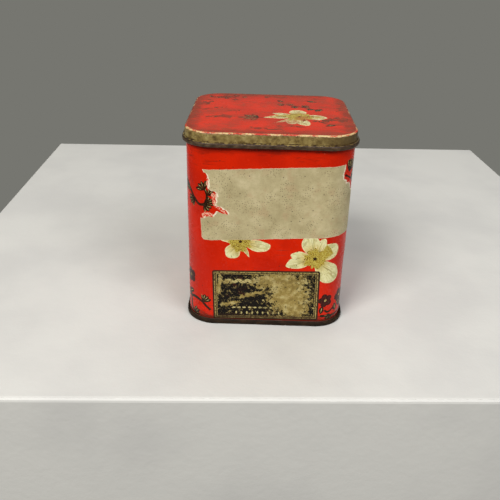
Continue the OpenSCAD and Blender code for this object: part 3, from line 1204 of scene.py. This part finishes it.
def lid(looks):
    """The drawn lid with its hollow curled bead, printed on top and bare beneath."""
    shell = Shell("lid_shell", looks)
    edge = (SKIRT_OUT - LID_EDGE_R, TIN_H - LID_EDGE_R)
    curl = BEAD_W / 2
    lower = (LID_GAP + curl, LID_Z + curl)
    upper = (LID_GAP + curl, LID_Z + BEAD_H - curl)
    outer_edge = arc(edge, LID_EDGE_R, 90, 0, 8)
    skirt = [(SKIRT_OUT, z) for z in np.linspace(edge[1], LID_Z + BEAD_H, 5)[1:]]
    hollow = arc(lower, curl - SHEET_T, 180, 360, 10) + arc(upper, curl - SHEET_T, 0, 120, 8)
    bead = arc(upper, curl, 120, 0, 10) + arc(lower, curl, 360, 180, 14)
    inner_edge = arc(edge, LID_EDGE_R - SHEET_T, 0, 90, 5)
    chain = outer_edge + skirt + hollow + bead + inner_edge
    kinds = (["lid_edge"] * (len(outer_edge) + len(skirt) - 1) + ["bead"] * (len(hollow) + len(bead))
             + ["tinplate"] * len(inner_edge))
    shell.sweep(chain[::-1], lid_place, kinds[::-1])
    lid_top(shell, edge[0])
    return shell.build()


def lid_top(shell, out):
    """The lid's printed top and the bare sheet under it, inside the drawn edge."""
    limit = LID_HIGH.x - BEAD_W - 2.5
    art = Artwork((-limit, -limit), (limit, limit), "lid_red")
    lid_artwork(art)
    flat, faces = plan_fill(out, lid_place, art)
    inks, motif = art.inks_of(flat, faces)
    inks = ["lid_" + ink if not ink.startswith("lid_") else ink for ink in inks]
    points = np.column_stack([flat, lid_top_z(*flat.T)])
    shell.add(points, faces, inks, flat, motif, plane_normals(flat, lid_top_z))
    flat, faces = plan_fill(out, lid_place, None, 6.0)
    points = np.column_stack([flat, lid_top_z(*flat.T) - SHEET_T])
    shell.add(points, faces[:, ::-1], "tinplate", flat)


def plane_normals(flat, height):
    """Upward normals of a surface z = height(x, y)."""
    reach = 0.05
    x, y = flat.T
    slope_x = (height(x + reach, y) - height(x - reach, y)) / (2 * reach)
    slope_y = (height(x, y + reach) - height(x, y - reach)) / (2 * reach)
    return unit(np.stack([-slope_x, -slope_y, np.ones_like(x)], 1))


def base_plate(looks):
    """The base end: sunk panel, standing rim and the folds of the double seam."""
    shell = Shell("base_end", looks)
    chuck_out = -SHEET_T - SEAM_GAP
    chuck_in = chuck_out - SHEET_T
    bend = SHEET_T + 0.2
    inner_r = bend - SHEET_T
    rim_in, rim_out = (chuck_in + bend, bend), (JACKET_OUT - bend, bend)
    top_out, top_in = (JACKET_OUT - bend, SEAM_H - bend), (SEAM_GAP + bend, SEAM_H - bend)
    tuck_z = 2 * SHEET_T + 2 * SEAM_GAP
    panel_top = PANEL_LIFT + SHEET_T
    outside = [(chuck_in, PANEL_LIFT)] + arc(rim_in, bend, 180, 270) + arc(rim_out, bend, 270, 360)
    outside += arc(top_out, bend, 0, 90) + arc(top_in, bend, 90, 180)
    folded = [(SEAM_GAP, tuck_z), (SEAM_GAP + SHEET_T, tuck_z)]
    folded += arc(top_in, inner_r, 180, 90, 3) + arc(top_out, inner_r, 90, 0, 3)
    folded += arc(rim_out, inner_r, 360, 270, 3) + arc(rim_in, inner_r, 270, 180, 3)
    chain = outside + folded + [(chuck_out, panel_top)]
    shell.sweep(chain, base_place, ["seam"] * (len(chain) - 1))

    for out, level, ink, upward in ((chuck_in, PANEL_LIFT, "base_panel", False),
                                    (chuck_out, panel_top, "tinplate", True)):
        flat, faces = plan_fill(out, base_place, None, 1.6)
        points = np.column_stack([flat, level + base_relief(plan_depth(*flat.T, out))])
        shell.add(points, faces if upward else faces[:, ::-1], ink, flat)
    return shell.build()


def base_relief(depth):
    """Height of the pressed ring and the slightly domed middle of the base panel."""
    ring = 0.35 * np.exp(-((depth - 7) / 1.3) ** 2) * smoothstep(depth, 0, 4)
    return ring + 0.3 * smoothstep(depth, 10, 30)


# The label's lower left corner, size and slant, measured on the unrolled wall
LABEL_LEFT = 34.0
LABEL_Z = 50.1
LABEL_H = 38.0
LABEL_TILT = 3.0
LABEL_LENGTH = LABEL_LEFT + FLAT + ARC + 6


def dense(points, step):
    """The same outline with points no further apart than step."""
    made = []
    for a, b in zip(points, points[1:] + points[:1]):
        count = max(1, math.ceil(math.dist(a, b) / step))
        made += [(a[0] + (b[0] - a[0]) * k / count, a[1] + (b[1] - a[1]) * k / count) for k in range(count)]
    return made


def label_outlines():
    """Outline of the label and of its unbroken face, laid on the wall."""
    top = LABEL_H
    cut = arc((2, 2), 2, 180, 270) + [(LABEL_LENGTH, 0), (LABEL_LENGTH, top - 18)]
    notch = [(83, top - 16), (80.5, top - 14.5), (77.5, top - 10), (75.5, top - 9.5), (73, top - 5.5),
             (74, top)]
    left = [(2.5, top), (5.5, top - 5), (5, top - 9), (8.5, top - 11.5), (8.5, top - 16), (9.5, top - 19),
            (14, top - 22.5), (14, top - 23.6), (9, top - 22.2), (6, top - 25), (3, top - 24.6),
            (0, top - 26)]
    outline = dense(cut + notch + left, 0.6)
    # Torn down the left edge and at the top right corner
    torn = [(x > 72 and y > top - 18.1 or x < 15 and y > top - 26.2) and y < top - 0.1 for x, y in outline]
    moved = np.array(outline)
    jag = uneven(moved, 0.34, 1) - moved
    soft = uneven(moved, 0.05, 2) - moved
    moved = moved + np.where(np.array(torn)[:, None], jag, soft)
    middle = np.array([LABEL_LENGTH / 2, top / 2])
    width = np.where(torn, rng.uniform(0.5, 1.5, len(moved)), 0.12)
    width = (width + np.roll(width, 1) + np.roll(width, -1)) / 3
    face = moved + unit(middle - moved) * width[:, None]
    return [turned(line, LABEL_TILT, (-LABEL_LEFT, LABEL_Z)) for line in (moved, face)]


def paper_label(looks):
    """The paper label, stuck askew round the right corner, its edges torn."""
    shell = Shell("torn_label", looks)
    outline, face = label_outlines()
    low, high = outline.min(0), outline.max(0)
    columns = STATIONS[(STATIONS > low[0]) & (STATIONS < high[0])]
    inner = np.array([(x, z) for x in columns for z in grid_rows(low[1], high[1], 3.0)])
    inner = inner[inside(inner, face)]
    flat, faces = fill(outline, inner, [face])
    middle = flat[faces].mean(1)
    kept = inside(middle, outline)
    faces, middle = faces[kept], middle[kept]
    on_face = inside(middle, face)
    # Pulled in by a hair, so that the outline's own points count as outside
    bare_edge = ~inside(flat, shrunk(face, 0.02))
    lift = np.where(bare_edge, FIBRE_T, PAPER_T)
    along, height = flat.T
    ripple = 0.04 * np.sin(along / 3.1) * np.sin(height / 4.3 + 1)
    lift = lift + np.where(bare_edge, 0, abs(ripple))

    def back_place(along, height):
        return wall_place(along, GLUE_GAP, height)

    front = wall_place(along, GLUE_GAP + lift, height)
    back = back_place(along, height)
    inks = np.where(on_face, "paper", "fibre")
    shell.add(front, faces, inks, flat, None, sheet_normals(flat, back_place))
    shell.add(back, faces[:, ::-1], "fibre", flat)
    links = dict.fromkeys((int(a), int(b)) for face in faces for a, b in zip(face, np.roll(face, -1)))
    rim = [(a, b) for a, b in links if (b, a) not in links]
    sides = [(a, len(flat) + a, len(flat) + b, b) for a, b in rim]
    shell.add(np.concatenate([front, back]), sides, "fibre", np.concatenate([flat, flat]))
    return shell.build(sharp=60)


# ---------------------------------------------------------------- stage, lights and camera


def area_light(name, place, aim, size, watts, tint=(1, 1, 1)):
    """A square light at a place in metres, aimed at another."""
    lamp = bpy.data.lights.new(name, "AREA")
    lamp.size = size
    lamp.energy = watts
    lamp.color = tint
    made = new_object(name, lamp)
    made.location = place
    made.rotation_euler = (Vector(aim) - Vector(place)).to_track_quat("-Z", "Y").to_euler()


def floor():
    """The top of a plain pale plinth, a little askew to the tin."""
    look = Look("pale_floor")
    tint = look.mix(look.patches(0.35, 0.7, 70, 3), (202, 201, 197), (193, 192, 189))
    look.finish(tint, 0.55, [(0.15, look.noise(5, 4))])
    half_w, half_d, drop = 213, 195, 900
    corners = [(-half_w, -half_d), (half_w, -half_d), (half_w, half_d), (-half_w, half_d)]
    corners = turned(corners, 2.5, (11, 91))
    points = [(x * MM, y * MM, z * MM) for z in (0, -drop) for x, y in corners]
    faces = [(0, 1, 2, 3), (7, 6, 5, 4)] + [(k + 4, (k + 1) % 4 + 4, (k + 1) % 4, k) for k in range(4)]
    mesh = bpy.data.meshes.new("floor")
    mesh.from_pydata(points, [], faces)
    mesh.materials.append(look.material)
    for title in ("sheet", "motif"):
        mesh.attributes.new(title, "FLOAT_VECTOR", "CORNER")
    slab = new_object("floor", mesh)
    edge = slab.modifiers.new("edge", "BEVEL")
    edge.width = 2 * MM
    edge.segments = 3


def studio():
    """A grey room with a key light, a weaker fill and a little light from behind."""
    scene = bpy.context.scene
    scene.view_settings.view_transform = "Standard"
    world = bpy.data.worlds.new("grey_room")
    world.use_nodes = True
    world.node_tree.nodes["Background"].inputs["Color"].default_value = colour((118, 118, 112))
    scene.world = world
    area_light("key", (-0.65, -1.0, 1.3), (0, 0, 0.05), 0.7, 29, (1.0, 0.98, 0.94))
    area_light("fill", (0.75, -0.85, 1.15), (0, 0, 0.05), 0.7, 13, (0.98, 0.98, 1.0))
    area_light("back", (0.2, 1.1, 1.3), (0, 0, 0.08), 1.0, 4)


CAMERA_LENS = 43.47
CAMERA_PLACE = (-0.0053, -0.3213, 0.1869)
LOOK_DOWN = 26.89
CAMERA_YAW = 0.71
CAMERA_ROLL = 1.44


def camera():
    """Looks down on the front from a third of a metre away; angles in degrees."""
    data = bpy.data.cameras.new("camera")
    data.lens = CAMERA_LENS
    data.sensor_width = 36
    data.clip_start = 0.01
    made = new_object("camera", data)
    pitch, yaw, roll = (math.radians(a) for a in (90 - LOOK_DOWN, CAMERA_YAW, CAMERA_ROLL))
    aim = Matrix.Rotation(yaw, 4, "Z") @ Matrix.Rotation(pitch, 4, "X") @ Matrix.Rotation(roll, 4, "Z")
    made.matrix_world = Matrix.Translation(CAMERA_PLACE) @ aim
    bpy.context.scene.camera = made


# ---------------------------------------------------------------- the tin

PRINT_INKS = {
    "petal": petal_ink,
    "petal_edge": petal_edge_ink,
    "fold": fold_ink,
    "stamens": stamen_ink,
    "anther": anther_ink,
    "leaf": leaf_ink,
    "vein": vein_ink,
    "blossom": blossom_ink,
    "scuff": scuff_ink,
    "dark": dark_ink,
}

tinplate = tinplate_look()
body_looks = {name: printed("body_" + name, ink) for name, ink in PRINT_INKS.items()}
body_looks.update({
    "red": printed("body_red", red_ink),
    "shred": printed("body_shred", shred_ink),
    "gold": printed("body_gold", gold_ink),
    "keyline": printed("body_keyline", dark_ink),
    "field": printed("body_field", field_ink, rub=0.03, gloss=0.12),
    "faded": printed("body_faded", faded_ink, rub=0.03, gloss=0.12),
    "tinplate": tinplate,
})
lid_looks = {
    "lid_" + name: printed("lid_" + name, ink, lid_dirt, 1.3)
    for name, ink in PRINT_INKS.items() if name != "petal"
}
lid_looks.update({
    "lid_petal": printed("lid_petal", lid_petal_ink, lid_dirt, 1.3),
    "lid_red": printed("lid_red", lid_red_ink, lid_dirt, 1.3),
    "lid_edge": lid_edge_look(),
    "bead": bead_look(),
    "tinplate": tinplate,
})
base_looks = {
    "seam": rusty_look("base_seam", (62, 43, 24), (33, 23, 12), (16, 11, 6)),
    "base_panel": rusty_look("base_panel", (140, 124, 102), (112, 92, 70), (74, 50, 32)),
    "tinplate": tinplate,
}
label_looks = {"paper": paper_look(), "fibre": fibre_look()}

for made, node, body, slot in (
    (body_wall(body_looks), "body_wall", "tin", "printed_body"),
    (base_plate(base_looks), "base_plate", "tin", "bare_base"),
    (lid(lid_looks), "lid", "lid", "printed_lid"),
    (paper_label(label_looks), "paper_label", "tin", "label_paper"),
):
    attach(made, body)
    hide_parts(node)

floor()
studio()
camera()
